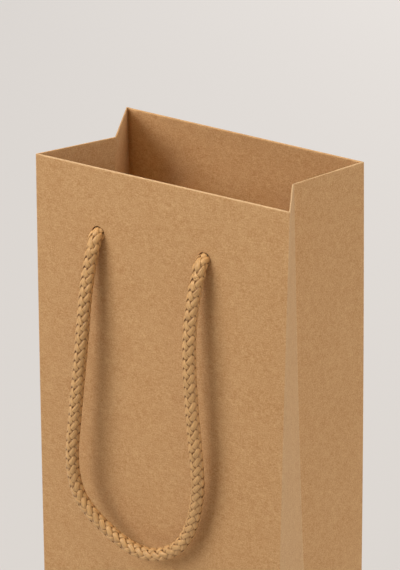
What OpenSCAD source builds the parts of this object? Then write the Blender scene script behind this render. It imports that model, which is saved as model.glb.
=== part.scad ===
// Paper carrier for one bottle: a block-bottomed bag of brown kraft paper with folded-in
// sides, a turned-in hem over two stiffening cards, and two braided rope handles knotted inside.
// Origin: middle of the base, on the surface that the bag stands on. +Z up, front towards -Y.

/* [Bag] */
// Width of the bag across the front
bag_w = 133; // [115:1:180]
// Depth of the bag from front to back, at the base
bag_d = 82; // [72:1:110]
// Height of the bag from the base to the rim
bag_h = 330; // [310:1:400]
// How much shallower the mouth is than the base, at its left end
pinch_left = 10; // [4:0.5:16]
// How much shallower the mouth is than the base, at its right end
pinch_right = 14; // [4:0.5:16]
// How much narrower the back of the mouth is than the front
pinch_back = 3; // [0:0.5:6]

/* [Side folds] */
// How far the left side's middle crease is drawn in at the rim
left_fold_in = 18.9; // [8:0.1:24]
// How far the right side's middle crease is drawn in at the rim
right_fold_in = 15.1; // [8:0.1:24]
// How far behind the bag's middle the left crease lies at the rim
left_fold_shift = 0.5; // [-8:0.1:8]
// How far behind the bag's middle the right crease lies at the rim
right_fold_shift = -5.9; // [-8:0.1:8]

/* [Paper and card] */
// Thickness of the kraft paper
paper_t = 0.3; // [0.2:0.05:0.6]
// Thickness of each stiffening card under the hem
top_card_t = 0.5; // [0.3:0.05:1]
// Thickness of the card that lies on the base
base_card_t = 1; // [0.6:0.1:2]
// Thickness of a line of glue between two layers
glue_t = 0.05; // [0.03:0.01:0.1]
// How far the hem at the rim reaches below the middle of the lowest holes
hem_below_holes = 8; // [6:0.5:30]
// How much shorter the stiffening cards are than the hem that covers them
card_tuck = 4; // [1:0.5:6]
// Gap between the ends of the hem's strips and the corner creases
hem_end_gap = 2; // [1.5:0.1:4]
// Width of the glued flap that closes the sheet at the back right corner
seam_w = 15; // [8:1:20]
// How far the front and back flaps of the base lap over each other
base_lap = 18; // [8:1:30]
// How much is cut off the corners of the front and back flaps
base_flap_corner = 12; // [4:1:16]
// How far the side flaps of the base reach inwards
side_flap_reach = 30; // [16:1:34]
// Gap between the base card and the walls
base_card_gap = 1; // [0.5:0.1:3]

/* [Rope handles] */
// Diameter of the braided rope
rope_d = 6.2; // [5:0.1:7]
// Gap all round between the rope and its punched hole
hole_gap = 0.3; // [0.2:0.05:0.8]
// Distance between a handle's two holes
hole_spacing = 56.2; // [44:0.1:70]
// How far the pair of holes sits from the middle of the panel
hole_shift = -4.4; // [-8:0.1:8]
// Depth of the front holes below the rim
front_hole_drop = 31.5; // [24:0.5:36]
// Depth of the back holes below the rim
back_hole_drop = 42; // [24:0.5:48]
// How far the rope's end stands out of its hole, outside
stub_proud = 0.25; // [0.1:0.05:1]
// Gap left for the loop to swing past the rope's end
swing_gap = 0.3; // [0.2:0.05:0.6]
// Gap between a knot and the hem that it bears on
knot_gap = 0.3; // [0.2:0.05:0.6]
// Length of the rope's end below a knot
tail_l = 16; // [6:1:24]

/* [Hidden] */

kraft_colour = [0.63, 0.53, 0.43];
hem_colour = [0.58, 0.49, 0.40];
card_colour = [0.72, 0.66, 0.58];
rope_colour = [0.60, 0.51, 0.41];

// Shape of the walls: how the pinch of the mouth and the draw of the side creases grow upwards
lean_power_share = 1.7;
fold_power_share = 0.5;

// Rows of the walls between the level where the side creases start and the hem's lower edge
wall_row_shares = [0, 0.06, 0.16, 0.3, 0.46, 0.63, 0.81];
// Rows of the layers that hang from the rim, as shares of their own height
rim_row_shares = [0, 0.5, 1];

// Width and thickness of a stopper knot, as shares of the rope's diameter
knot_width_share = 2.6;
knot_thick_share = 2.1;

round_steps = 64;
rope_sides = 10;
cut_over = 4;

// The sides of the bag's outline, counted from the front, anticlockwise seen from above
FRONT = 0;
RIGHT_FRONT = 1;
RIGHT_BACK = 2;
BACK = 3;
LEFT_BACK = 4;
LEFT_FRONT = 5;

// The side creases die out at the tips of the base's folded corners
fold_start = bag_d / 2;

// Heights of the hem and the stiffening cards, from the rim down
hem_h = max(front_hole_drop, back_hole_drop) + hem_below_holes;
top_card_h = hem_h - card_tuck;

// Offsets of the layers from the outer face of the bag
hem_out = paper_t + glue_t;
hem_in = hem_out + paper_t;
card_out = paper_t + glue_t;
card_in = card_out + top_card_t;
stiff_hem_out = card_in + glue_t;
stiff_hem_in = stiff_hem_out + paper_t;
seam_hem_out = hem_in + glue_t;
seam_hem_in = seam_hem_out + paper_t;

// Heights of the layers that lie on each other in the base
flap_pitch = paper_t + glue_t;
base_card_z = 3 * flap_pitch;
seam_foot = base_card_z + base_card_t + base_card_gap;

// Half the width and depth between the walls, at the base
base_half_w = bag_w / 2 - paper_t - glue_t;
base_half_d = bag_d / 2 - paper_t - glue_t;

// Places of the holes
hole_d = rope_d + 2 * hole_gap;
hole_x = [hole_shift - hole_spacing / 2, hole_shift + hole_spacing / 2];
front_hole_z = bag_h - front_hole_drop;
back_hole_z = bag_h - back_hole_drop;

// Size of a stopper knot
knot_d = rope_d * knot_width_share;
knot_t = rope_d * knot_thick_share;

// The free loops of rope, from the left hole to the right one, measured from the left hinge point
front_route = [
    [0, 0, 0], [-0.2, -0.5, -6.5], [-0.9, -2.4, -14.5], [-1.6, -4.5, -25.5],
    [-2.1, -6.3, -38.5], [-3, -7.7, -54.5], [-4.4, -9.1, -72.5], [-5.7, -10.6, -90.5],
    [-6.7, -11.7, -106.5], [-6.1, -11.9, -118.5], [-3.1, -11.7, -128.5], [2.6, -11.3, -136],
    [9.5, -10, -142.5], [17.3, -8.9, -148], [26.5, -7.9, -151.5], [35.6, -7.1, -151.3],
    [43.7, -6.4, -147.5], [49.8, -5.9, -141.5], [53.9, -5.4, -133.5], [56.8, -5.4, -123.5],
    [58.6, -5.7, -111.5], [58.8, -6.3, -99.5], [58, -6.8, -86.5], [56.8, -6.9, -72.5],
    [55.7, -6.8, -57.5], [54.9, -6.3, -42.5], [54.6, -4.7, -28.5], [55.1, -2.8, -16.5],
    [56.1, -0.6, -7], [56.2, 0, 0]];
back_route = [
    [0, 0, 0], [0, 0.4, -6.5], [-0.3, 1.9, -15], [-0.9, 4, -26.5],
    [-1.7, 6.3, -40], [-2.5, 8.3, -56.5], [-3.1, 9.7, -75], [-3.1, 10.5, -93],
    [-2.1, 10.7, -110], [0.7, 10.4, -125], [5.9, 9.9, -138.5], [13.9, 9.3, -149],
    [24, 8.9, -153.5], [34.5, 8.9, -152.5], [44, 9.3, -147], [51.1, 9.8, -137.5],
    [55.7, 10.3, -125], [57.9, 10.5, -110], [58.5, 10.3, -93], [58.1, 9.5, -75],
    [57.3, 8.1, -56.5], [56.5, 6.1, -40], [56.1, 3.9, -26.5], [56.1, 1.8, -15],
    [56.2, 0.3, -6.5], [56.2, 0, 0]];

// How far the mouth's pinch has grown at a height, from 0 at the base to 1 at the rim
function lean(z) = pow(z / bag_h, lean_power_share);

// How far the side creases are drawn in at a height, from 0 to 1 at the rim
function draw(z) = z <= fold_start ? 0
    : pow((z - fold_start) / (bag_h - fold_start), fold_power_share);

// The six creases of the bag's outline at a height
function creases(z) = [
    [-bag_w / 2, -bag_d / 2 + pinch_left / 2 * lean(z)],
    [bag_w / 2, -bag_d / 2 + pinch_right / 2 * lean(z)],
    [bag_w / 2 - right_fold_in * draw(z), right_fold_shift * draw(z)],
    [bag_w / 2 - pinch_back / 2 * lean(z), bag_d / 2 - pinch_right / 2 * lean(z)],
    [-bag_w / 2 + pinch_back / 2 * lean(z), bag_d / 2 - pinch_left / 2 * lean(z)],
    [-bag_w / 2 + left_fold_in * draw(z), left_fold_shift * draw(z)]];

function unit(v) = v / norm(v);
function inward(side, at) = let (run = unit(at[(side + 1) % 6] - at[side])) [-run.y, run.x];

// A crease moved inwards by a layer's offset, mitred between its two sides
function inset(i, z, offset) = let (
        at = creases(z),
        before = inward((i + 5) % 6, at),
        after = inward(i, at))
    at[i] + offset * (before + after) / (1 + before * after);

// The four corners of one side's layer at a height, cut back at both ends by end_gap
function layer_row(side, z, out, in, end_gap) = let (
        a = inset(side, z, out),
        b = inset((side + 1) % 6, z, out),
        c = inset((side + 1) % 6, z, in),
        d = inset(side, z, in),
        cut = unit(b - a) * end_gap)
    [for (p = [a + cut, b - cut, c - cut, d + cut]) [p.x, p.y, z]];

// A strip of one side at a height, next to its far corner and reaching past it all round
function strip_row(side, z, width) = let (
        at = creases(z),
        corner = at[(side + 1) % 6],
        run = unit(corner - at[side]),
        in = inward(side, at))
    [for (p = [corner - run * width - in * cut_over, corner + (run - in) * cut_over,
               corner + (run + in) * cut_over, corner - run * width + in * cut_over])
        [p.x, p.y, z]];

// The outer face of the front or back at a place across the bag
function face_y(side, x, z) = let (
        a = creases(z)[side],
        b = creases(z)[(side + 1) % 6])
    a.y + (b.y - a.y) * (x - a.x) / (b.x - a.x);

// Heights of the rows of a wall, and of a layer that hangs from the rim
wall_rows = concat(
    [0],
    [for (share = wall_row_shares) fold_start + (bag_h - hem_h - fold_start) * share],
    [for (share = rim_row_shares) bag_h - hem_h * (1 - share)]);
seam_rows = [for (z = wall_rows) max(z, seam_foot)];
function rim_rows(depth) = [for (share = rim_row_shares) bag_h - depth * (1 - share)];

// Hinge lines of the two loops: past the rope's ends, clear of the panel
front_hinge_y = min([for (x = hole_x) face_y(FRONT, x, front_hole_z)])
    - stub_proud - swing_gap - rope_d / 2;
back_hinge_y = max([for (x = hole_x) face_y(BACK, x, back_hole_z)])
    + stub_proud + swing_gap + rope_d / 2;

// A closed skin through rows of points, each anticlockwise seen from the far end; turned
// names the faces whose diagonal runs the other way, so that two layers split a shared face alike
module loft(rows, turned = []) {
    sides = len(rows[0]);
    last = len(rows) - 1;
    points = [for (row = rows) each row];
    skin = [for (k = [0 : last - 1], j = [0 : sides - 1])
        let (a = sides * k + j, b = sides * k + (j + 1) % sides)
        each turned[j] ? [[a, b + sides, b], [a, a + sides, b + sides]]
                       : [[a, a + sides, b], [b, a + sides, b + sides]]];
    foot = [for (j = [0 : sides - 1]) j];
    head = [for (j = [sides - 1 : -1 : 0]) sides * last + j];
    polyhedron(points = points, faces = concat(skin, [foot, head]), convexity = 4);
}

// One layer of paper or card on one side of the bag; a gusset's faces are split from its
// middle crease up to its corner, so that it bulges outwards where it twists
module layer(side, rows, out, in, end_gap = 0) {
    crease_first = side == RIGHT_BACK || side == LEFT_FRONT;
    loft([for (z = rows) layer_row(side, z, out, in, end_gap)],
         turned = [crease_first, true, !crease_first, false]);
}

// The two holes of a handle, through every layer of a panel
module handle_holes(z) {
    for (x = hole_x)
        translate([x, 0, z])
            rotate([90, 0, 0])
                cylinder(d = hole_d, h = bag_d + cut_over, center = true, $fn = round_steps);
}

// A layer of a panel with the handle's holes punched through it
module punched_layer(side, rows, out, in, hole_z, end_gap = 0) {
    difference() {
        layer(side, rows, out, in, end_gap);
        handle_holes(hole_z);
    }
}

module front_panel() {
    color(kraft_colour) punched_layer(FRONT, wall_rows, 0, paper_t, front_hole_z);
}

module back_panel() {
    color(kraft_colour) punched_layer(BACK, wall_rows, 0, paper_t, back_hole_z);
}

module left_gusset_front() {
    color(kraft_colour) layer(LEFT_FRONT, wall_rows, 0, paper_t);
}

module left_gusset_back() {
    color(kraft_colour) layer(LEFT_BACK, wall_rows, 0, paper_t);
}

module right_gusset_front() {
    color(kraft_colour) layer(RIGHT_FRONT, wall_rows, 0, paper_t);
}

module right_gusset_back() {
    color(kraft_colour) layer(RIGHT_BACK, wall_rows, 0, paper_t);
}

// The flap that closes the sheet, glued inside the right side along the back corner: a layer
// of the whole side, of which only the strip next to the corner is kept
module side_seam_flap() {
    color(kraft_colour)
        intersection() {
            layer(RIGHT_BACK, seam_rows, hem_out, hem_in);
            loft([for (z = wall_rows) strip_row(RIGHT_BACK, z, seam_w)]);
        }
}

// The front and back hems lie over a card, the side hems on the paper itself
module front_hem() {
    color(hem_colour)
        punched_layer(FRONT, rim_rows(hem_h), stiff_hem_out, stiff_hem_in,
                      front_hole_z, hem_end_gap);
}

module back_hem() {
    color(hem_colour)
        punched_layer(BACK, rim_rows(hem_h), stiff_hem_out, stiff_hem_in,
                      back_hole_z, hem_end_gap);
}

module left_hem_front() {
    color(hem_colour) layer(LEFT_FRONT, rim_rows(hem_h), hem_out, hem_in, hem_end_gap);
}

module left_hem_back() {
    color(hem_colour) layer(LEFT_BACK, rim_rows(hem_h), hem_out, hem_in, hem_end_gap);
}

module right_hem_front() {
    color(hem_colour) layer(RIGHT_FRONT, rim_rows(hem_h), hem_out, hem_in, hem_end_gap);
}

// This strip lies over the seam flap too
module right_hem_back() {
    color(hem_colour) layer(RIGHT_BACK, rim_rows(hem_h), seam_hem_out, seam_hem_in, hem_end_gap);
}

module front_top_card() {
    color(card_colour)
        punched_layer(FRONT, rim_rows(top_card_h), card_out, card_in, front_hole_z, hem_end_gap);
}

module back_top_card() {
    color(card_colour)
        punched_layer(BACK, rim_rows(top_card_h), card_out, card_in, back_hole_z, hem_end_gap);
}

// A flap of the base as wide as the bag, folded in from the front or, turned, from the back
module long_base_flap(level) {
    reach = bag_d / 2 + base_lap / 2;
    translate([0, 0, level * flap_pitch])
        linear_extrude(paper_t)
            polygon([
                [-base_half_w, -base_half_d],
                [base_half_w, -base_half_d],
                [base_half_w, reach - bag_d / 2 - base_flap_corner],
                [base_half_w - base_flap_corner, reach - bag_d / 2],
                [-base_half_w + base_flap_corner, reach - bag_d / 2],
                [-base_half_w, reach - bag_d / 2 - base_flap_corner]]);
}

// A side flap of the base, with its ends folded to the corners at 45 degrees
module side_base_flap(level) {
    translate([0, 0, level * flap_pitch])
        linear_extrude(paper_t)
            polygon([
                [-base_half_w, base_half_d],
                [-base_half_w, -base_half_d],
                [-base_half_w + side_flap_reach, -base_half_d + side_flap_reach],
                [-base_half_w + side_flap_reach, base_half_d - side_flap_reach]]);
}

module front_base_flap() {
    color(kraft_colour) long_base_flap(0);
}

module back_base_flap() {
    color(kraft_colour) rotate([0, 0, 180]) long_base_flap(1);
}

module left_base_flap() {
    color(kraft_colour) side_base_flap(2);
}

module right_base_flap() {
    color(kraft_colour) rotate([0, 0, 180]) side_base_flap(2);
}

// The card that stiffens the base lies on all four flaps
module base_card() {
    w = 2 * (base_half_w - base_card_gap);
    d = 2 * (base_half_d - base_card_gap);
    color(card_colour)
        translate([-w / 2, -d / 2, base_card_z])
            cube([w, d, base_card_t]);
}

// Direction of the rope at a point of its route
function along(route, i) = unit(route[min(i + 1, len(route) - 1)] - route[max(i - 1, 0)]);

// A ring of the rope's surface, square to its direction
function rope_ring(route, i) = let (
        t = along(route, i),
        u = unit(cross(t, [0, 1, 0])),
        v = cross(t, u))
    [for (k = [0 : rope_sides - 1])
        let (angle = 360 * k / rope_sides)
        route[i] + rope_d / 2 * (cos(angle) * u + sin(angle) * v)];

// The free loop of a handle, which swings about the line between its two ends
module rope_loop(route, hinge_y, hole_z) {
    color(rope_colour)
        translate([hole_x[0], hinge_y, hole_z])
            loft([for (i = [0 : len(route) - 1]) rope_ring(route, i)]);
}

module front_rope_loop() rope_loop(front_route, front_hinge_y, front_hole_z);
module back_rope_loop() rope_loop(back_route, back_hinge_y, back_hole_z);

// A stopper knot with the rope's end through its hole and its tail, inward is 1 at the front
// and -1 at the back
module knot(side, x, z, hinge_y, inward) {
    outer_end = hinge_y + inward * (rope_d / 2 + swing_gap);
    middle = face_y(side, x, z) + inward * (stiff_hem_in + knot_gap + knot_t / 2);
    color(rope_colour)
        translate([x, middle, z]) {
            intersection() {
                sphere(d = knot_d, $fn = round_steps);
                cube([knot_d + cut_over, knot_t, knot_d + cut_over], center = true);
            }
            rotate([inward * 90, 0, 0])
                cylinder(d = rope_d, h = abs(middle - outer_end), $fn = round_steps);
            translate([0, 0, -knot_d / 2 - tail_l])
                cylinder(d = rope_d, h = knot_d / 2 + tail_l, $fn = round_steps);
        }
}

module front_left_knot() knot(FRONT, hole_x[0], front_hole_z, front_hinge_y, 1);
module front_right_knot() knot(FRONT, hole_x[1], front_hole_z, front_hinge_y, 1);
module back_left_knot() knot(BACK, hole_x[0], back_hole_z, back_hinge_y, -1);
module back_right_knot() knot(BACK, hole_x[1], back_hole_z, back_hinge_y, -1);

front_panel();
back_panel();
left_gusset_front();
left_gusset_back();
right_gusset_front();
right_gusset_back();
side_seam_flap();
front_hem();
back_hem();
left_hem_front();
left_hem_back();
right_hem_front();
right_hem_back();
front_top_card();
back_top_card();
front_base_flap();
back_base_flap();
left_base_flap();
right_base_flap();
base_card();
front_rope_loop();
back_rope_loop();
front_left_knot();
front_right_knot();
back_left_knot();
back_right_knot();
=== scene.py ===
"""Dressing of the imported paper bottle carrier.

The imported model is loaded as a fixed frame. Around it this script makes the camera, the two
braided rope handles, the folded kraft paper with its cards, and a plain pale studio. Lengths
are in millimetres until a mesh is made, which is in metres.
"""
import logging
import math
from dataclasses import dataclass, field
from enum import Enum
from functools import lru_cache
from typing import Callable, Iterable, Optional, Sequence, Union

import bpy
import numpy as np
from mathutils import Matrix, Vector


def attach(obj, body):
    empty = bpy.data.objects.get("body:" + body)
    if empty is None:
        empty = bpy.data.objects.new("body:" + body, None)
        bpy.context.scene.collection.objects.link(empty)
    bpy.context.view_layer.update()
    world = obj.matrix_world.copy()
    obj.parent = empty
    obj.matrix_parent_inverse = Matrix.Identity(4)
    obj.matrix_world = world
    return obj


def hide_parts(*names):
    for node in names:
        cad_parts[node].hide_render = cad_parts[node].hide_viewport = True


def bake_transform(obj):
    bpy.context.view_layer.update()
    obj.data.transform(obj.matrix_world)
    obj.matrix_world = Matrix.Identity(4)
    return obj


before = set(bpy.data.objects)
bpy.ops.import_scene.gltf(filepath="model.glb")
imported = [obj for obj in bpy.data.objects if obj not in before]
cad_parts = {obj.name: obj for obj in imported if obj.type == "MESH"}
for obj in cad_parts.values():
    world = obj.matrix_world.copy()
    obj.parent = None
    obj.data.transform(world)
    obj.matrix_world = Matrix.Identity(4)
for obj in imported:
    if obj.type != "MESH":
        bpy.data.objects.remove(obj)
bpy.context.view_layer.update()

LOG = logging.getLogger("carrier")
MM = 0.001
BAG = "bag"
HOLE_X = (-32.5, 23.7)
FRONT_HOLE_Z, BACK_HOLE_Z = 298.5, 288.0
# The cosine and sine of the photo camera's turn, seen from above.
VIEW_COS, VIEW_SIN = 0.844, 0.536
SHARP_ANGLE = math.radians(40.0)

Number = Union[int, float]
Point = tuple[float, float, float]
Colour = tuple[float, float, float]


def smooth_step(value: float) -> float:
    """A soft ramp from 0 to 1 for a value that goes from 0 to 1."""
    value = min(1.0, max(0.0, value))
    return value * value * (3.0 - 2.0 * value)


def blend_points(
    t: float, start: float, end: float, one: np.ndarray, other: np.ndarray
) -> np.ndarray:
    """The point at t on a straight way that is at one at the start and at other at the end."""
    return (end - t) / (end - start) * one + (t - start) / (end - start) * other


# --------------------------------------------------------------------------- node building


@dataclass(frozen=True)
class Wire:
    """A node's output that takes part in Python arithmetic."""

    graph: "Graph"
    socket: bpy.types.NodeSocket
    vector: bool = False

    def _with(self, operation: str, other: "Term", swap: bool = False) -> "Wire":
        """Adds one Math or Vector Math node.

        Args:
            operation: the node's operation.
            other: the other term.
            swap: True if the other term comes first.

        Returns:
            The node's result.
        """
        pair: list["Term"] = [other, self] if swap else [self, other]
        wide = [term for term in pair if isinstance(term, Wire) and term.vector]
        if not wide:
            return self.graph.math(operation, *pair)
        if operation == "MULTIPLY" and len(wide) == 1:
            made = self.graph.node("ShaderNodeVectorMath", {"operation": "SCALE"},
                                   {0: wide[0], "Scale": other if self.vector else self})
            return self.graph.out(made, vector=True)
        return self.graph.vector(operation, *pair)

    def __add__(self, other: "Term") -> "Wire":
        """This plus another."""
        return self._with("ADD", other)

    def __radd__(self, other: "Term") -> "Wire":
        """Another plus this."""
        return self._with("ADD", other, swap=True)

    def __sub__(self, other: "Term") -> "Wire":
        """This less another."""
        return self._with("SUBTRACT", other)

    def __rsub__(self, other: "Term") -> "Wire":
        """Another less this."""
        return self._with("SUBTRACT", other, swap=True)

    def __mul__(self, other: "Term") -> "Wire":
        """This times another."""
        return self._with("MULTIPLY", other)

    def __rmul__(self, other: "Term") -> "Wire":
        """Another times this."""
        return self._with("MULTIPLY", other, swap=True)

    def __truediv__(self, other: "Term") -> "Wire":
        """This over another."""
        return self._with("DIVIDE", other)

    def __rtruediv__(self, other: "Term") -> "Wire":
        """Another over this."""
        return self._with("DIVIDE", other, swap=True)

    def at_least(self, other: "Term") -> "Wire":
        """The larger of this and another."""
        return self._with("MAXIMUM", other)

    def at_most(self, other: "Term") -> "Wire":
        """The smaller of this and another."""
        return self._with("MINIMUM", other)

    def sine(self) -> "Wire":
        """The sine of this angle."""
        return self.graph.math("SINE", self)

    def cosine(self) -> "Wire":
        """The cosine of this angle."""
        return self.graph.math("COSINE", self)

    def size(self) -> "Wire":
        """This without its sign."""
        return self.graph.math("ABSOLUTE", self)

    def clamped(self) -> "Wire":
        """This, kept from 0 to 1."""
        return self.at_least(0.0).at_most(1.0)


Term = Union[Wire, Number]


def weighed(wires: Sequence[Wire], weights: Sequence[float]) -> Wire:
    """The sum of wires, each times its weight."""
    first, *others = (wire * weight for wire, weight in zip(wires, weights))
    return sum(others, first)


class Graph:
    """Builds a node tree from Python expressions."""

    def __init__(self, tree: bpy.types.NodeTree) -> None:
        """Takes the tree that is built."""
        self.tree = tree

    def node(
        self, kind: str, settings: Optional[dict] = None, inputs: Optional[dict] = None
    ) -> bpy.types.Node:
        """Adds a node.

        Args:
            kind: the node's type name.
            settings: its properties, which are set first.
            inputs: values or links by a socket's name or number.

        Returns:
            The node.
        """
        made = self.tree.nodes.new(kind)
        for name, value in (settings or {}).items():
            setattr(made, name, value)
        self.feed(made, inputs or {})
        return made

    def feed(self, made: bpy.types.Node, inputs: dict) -> None:
        """Sets or links inputs of a node.

        Args:
            made: the node.
            inputs: values or links by a socket's name or number.
        """
        for key, value in inputs.items():
            socket = self._pick(made.inputs, key)
            if isinstance(value, Wire):
                value = value.socket
            if isinstance(value, bpy.types.NodeSocket):
                self.tree.links.new(value, socket)
            else:
                socket.default_value = value

    @staticmethod
    def _pick(
        sockets: Iterable[bpy.types.NodeSocket], key: Union[str, int]
    ) -> bpy.types.NodeSocket:
        """The socket with that number, or the one in use with that name."""
        if isinstance(key, int):
            return sockets[key]
        return next(socket for socket in sockets if socket.enabled and socket.name == key)

    def out(
        self, made: bpy.types.Node, key: Union[str, int] = 0, vector: bool = False
    ) -> Wire:
        """A node's output with that name or number, as a wire."""
        return Wire(self, self._pick(made.outputs, key), vector)

    def math(self, operation: str, *terms: Term) -> Wire:
        """A Math node on values."""
        inputs = dict(enumerate(terms))
        return self.out(self.node("ShaderNodeMath", {"operation": operation}, inputs))

    def vector(self, operation: str, *terms: Term) -> Wire:
        """A Vector Math node that gives a vector."""
        inputs = dict(enumerate(terms))
        made = self.node("ShaderNodeVectorMath", {"operation": operation}, inputs)
        return self.out(made, vector=True)

    def dot(self, one: Wire, other: Wire) -> Wire:
        """The dot product of two vectors."""
        made = self.node("ShaderNodeVectorMath", {"operation": "DOT_PRODUCT"},
                         {0: one, 1: other})
        return self.out(made, "Value")

    def join(self, *terms: Term) -> Wire:
        """A vector from three values."""
        made = self.node("ShaderNodeCombineXYZ", None, dict(enumerate(terms)))
        return self.out(made, vector=True)

    def split(self, wire: Wire) -> tuple[Wire, Wire, Wire]:
        """The three values of a vector."""
        made = self.node("ShaderNodeSeparateXYZ", None, {0: wire})
        return tuple(Wire(self, socket) for socket in made.outputs)

    def colour(self, *terms: Term) -> Wire:
        """A colour from its red, green and blue."""
        made = self.node("ShaderNodeCombineColor", None, dict(enumerate(terms)))
        return self.out(made, vector=True)

    def tint(self, share: Term, one: Union[Wire, tuple], other: tuple) -> Wire:
        """A colour between two, by a share from 0 to 1."""
        made = self.node("ShaderNodeMix", {"data_type": "RGBA", "clamp_factor": True},
                         {"Factor": share, "A": one, "B": other})
        return self.out(made, "Result", True)

    def noise(
        self, at: Wire, scale: float, detail: float = 2.0, roughness: float = 0.5
    ) -> Wire:
        """Soft noise that goes about from -1 to 1 and averages 0.

        Args:
            at: the place that it is read at.
            scale: its frequency.
            detail: how many finer layers it has.
            roughness: how strong they are.

        Returns:
            The noise.
        """
        made = self.node(
            "ShaderNodeTexNoise", None,
            {"Vector": at, "Scale": scale, "Detail": detail, "Roughness": roughness})
        return (self.out(made, "Fac") - 0.5) * 2.0

    def bump(self, height: Wire, strength: float, depth: float) -> Wire:
        """The normal of a surface with a relief, whose depth is in metres."""
        made = self.node("ShaderNodeBump", None,
                         {"Strength": strength, "Distance": depth, "Height": height})
        return self.out(made, vector=True)

    def attribute(self, name: str, vector: bool = False) -> Wire:
        """A mesh's attribute, as a material reads it."""
        made = self.node("ShaderNodeAttribute",
                         {"attribute_type": "GEOMETRY", "attribute_name": name})
        return self.out(made, "Vector" if vector else "Fac", vector)

    def place(self) -> Wire:
        """The place on the object, as a material reads it."""
        return self.out(self.node("ShaderNodeTexCoord"), "Object", True)

    def recall(self, name: str, vector: bool = False) -> Wire:
        """A geometry's named attribute."""
        kind = "FLOAT_VECTOR" if vector else "FLOAT"
        made = self.node("GeometryNodeInputNamedAttribute", {"data_type": kind},
                         {"Name": name})
        return self.out(made, "Attribute", vector)

    def store(
        self, shape: bpy.types.Node, name: str, value: Wire, domain: str = "POINT"
    ) -> bpy.types.Node:
        """Keeps a value on a geometry as a named attribute.

        Args:
            shape: the node that gives the geometry.
            name: the attribute's name.
            value: its value.
            domain: what each value belongs to.

        Returns:
            The node that gives the geometry with it.
        """
        kind = "FLOAT_VECTOR" if value.vector else "FLOAT"
        return self.node(
            "GeometryNodeStoreNamedAttribute", {"data_type": kind, "domain": domain},
            {"Geometry": shape.outputs[0], "Name": name, "Value": value})


# --------------------------------------------------------------------------- finishes


def rgba(colour: Colour) -> tuple[float, float, float, float]:
    """A colour with full cover."""
    return (*colour, 1.0)


def new_material(name: str) -> tuple[bpy.types.Material, Graph, bpy.types.Node]:
    """Starts a material.

    Args:
        name: its name.

    Returns:
        The material, its graph and its surface shader.
    """
    material = bpy.data.materials.new(name)
    material.use_nodes = True
    material.node_tree.nodes.clear()
    graph = Graph(material.node_tree)
    shader = graph.node("ShaderNodeBsdfPrincipled")
    graph.node("ShaderNodeOutputMaterial", None, {"Surface": shader.outputs[0]})
    return material, graph, shader


@dataclass(frozen=True)
class PaperFinish:
    """Uncoated paper or card with a cloudy, fibrous face, painted towards a lighter colour for
    highlights and scuffing.
    """

    name: str
    colour: Colour
    highlight_and_wear_colour: Colour
    cloud: float = 0.12
    wide_cloud: float = 0.28
    grain: float = 0.33
    fibre: float = 0.1
    fleck: float = 0.18
    fleck_from: float = 0.52
    fleck_edge: float = 6.0
    wear_and_highlight_grain: float = 0.9
    roughness: float = 0.78
    fibre_roughness: float = 0.05
    gloss: float = 0.25
    bump: float = 0.55
    relief: float = 0.00005

    # How strongly red, green and blue follow the mottling.
    SPREAD = (1.04, 1.66, 2.35)
    # Each noise's frequency in waves a metre, its finer layers and their roughness.
    CLOUDS, WIDE_CLOUDS = (330.0, 3.0, 0.6), (60.0, 2.0, 0.5)
    GRAIN, FLECKS, FIBRES = (1600.0, 2.0, 0.65), (900.0, 1.0, 0.5), (2100.0, 1.0, 0.5)
    # How high the grain, the fibres and the clouds stand in the relief.
    HEIGHTS = (0.6, 0.7, 0.4)
    # How each layer of fibres is turned, and the scale that draws it out.
    FIBRE_TURNS = ((0.0, 0.5, 0.2), (0.0, -0.7, 0.9), (0.35, 1.25, 0.0), (1.3, 0.1, 0.7))
    FIBRE_STRETCH = (0.16, 1.0, 1.0)

    def _fibres(self, graph: Graph, at: Wire) -> Wire:
        """Fine streaks that lie in several directions along the paper.

        Args:
            graph: the material's graph.
            at: the place on the paper.

        Returns:
            The streaks, which average 0.
        """
        total: Term = 0.0
        for turn in self.FIBRE_TURNS:
            made = graph.node(
                "ShaderNodeMapping", {"vector_type": "POINT"},
                {"Vector": at, "Rotation": turn, "Scale": self.FIBRE_STRETCH})
            total = graph.noise(graph.out(made, vector=True), *self.FIBRES) + total
        return total * 0.5

    def make(self) -> bpy.types.Material:
        """Builds the finish.

        Returns:
            The material.
        """
        material, graph, shader = new_material(self.name)
        at = graph.place()
        wide = graph.noise(at, *self.WIDE_CLOUDS)
        cloud = graph.noise(at, *self.CLOUDS) + wide * self.wide_cloud
        grain = graph.noise(at, *self.GRAIN)
        fibres = self._fibres(graph, at)
        flecks = graph.noise(at, *self.FLECKS) - self.fleck_from
        flecks = (flecks.clamped() * self.fleck_edge).clamped()
        level = 1.0 + cloud * self.cloud + grain * self.grain + fibres * self.fibre
        level = level - flecks * self.fleck
        body = graph.colour(*((level * share + (1.0 - share)) * tone
                              for tone, share in zip(self.colour, self.SPREAD)))
        # Painted highlight and scuffing: the mesh's mask draws the paper towards the lighter
        # colour.
        wear_and_highlight = (graph.attribute("wear_and_highlight") * (1.0 + grain * self.wear_and_highlight_grain)).clamped()
        height = weighed((grain, fibres, cloud), self.HEIGHTS)
        graph.feed(shader, {
            "Base Color": graph.tint(wear_and_highlight, body, rgba(self.highlight_and_wear_colour)),
            "Normal": graph.bump(height, self.bump, self.relief),
            "Roughness": (fibres * self.fibre_roughness + self.roughness).at_most(1.0),
            "Specular IOR Level": self.gloss,
        })
        return material


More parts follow.
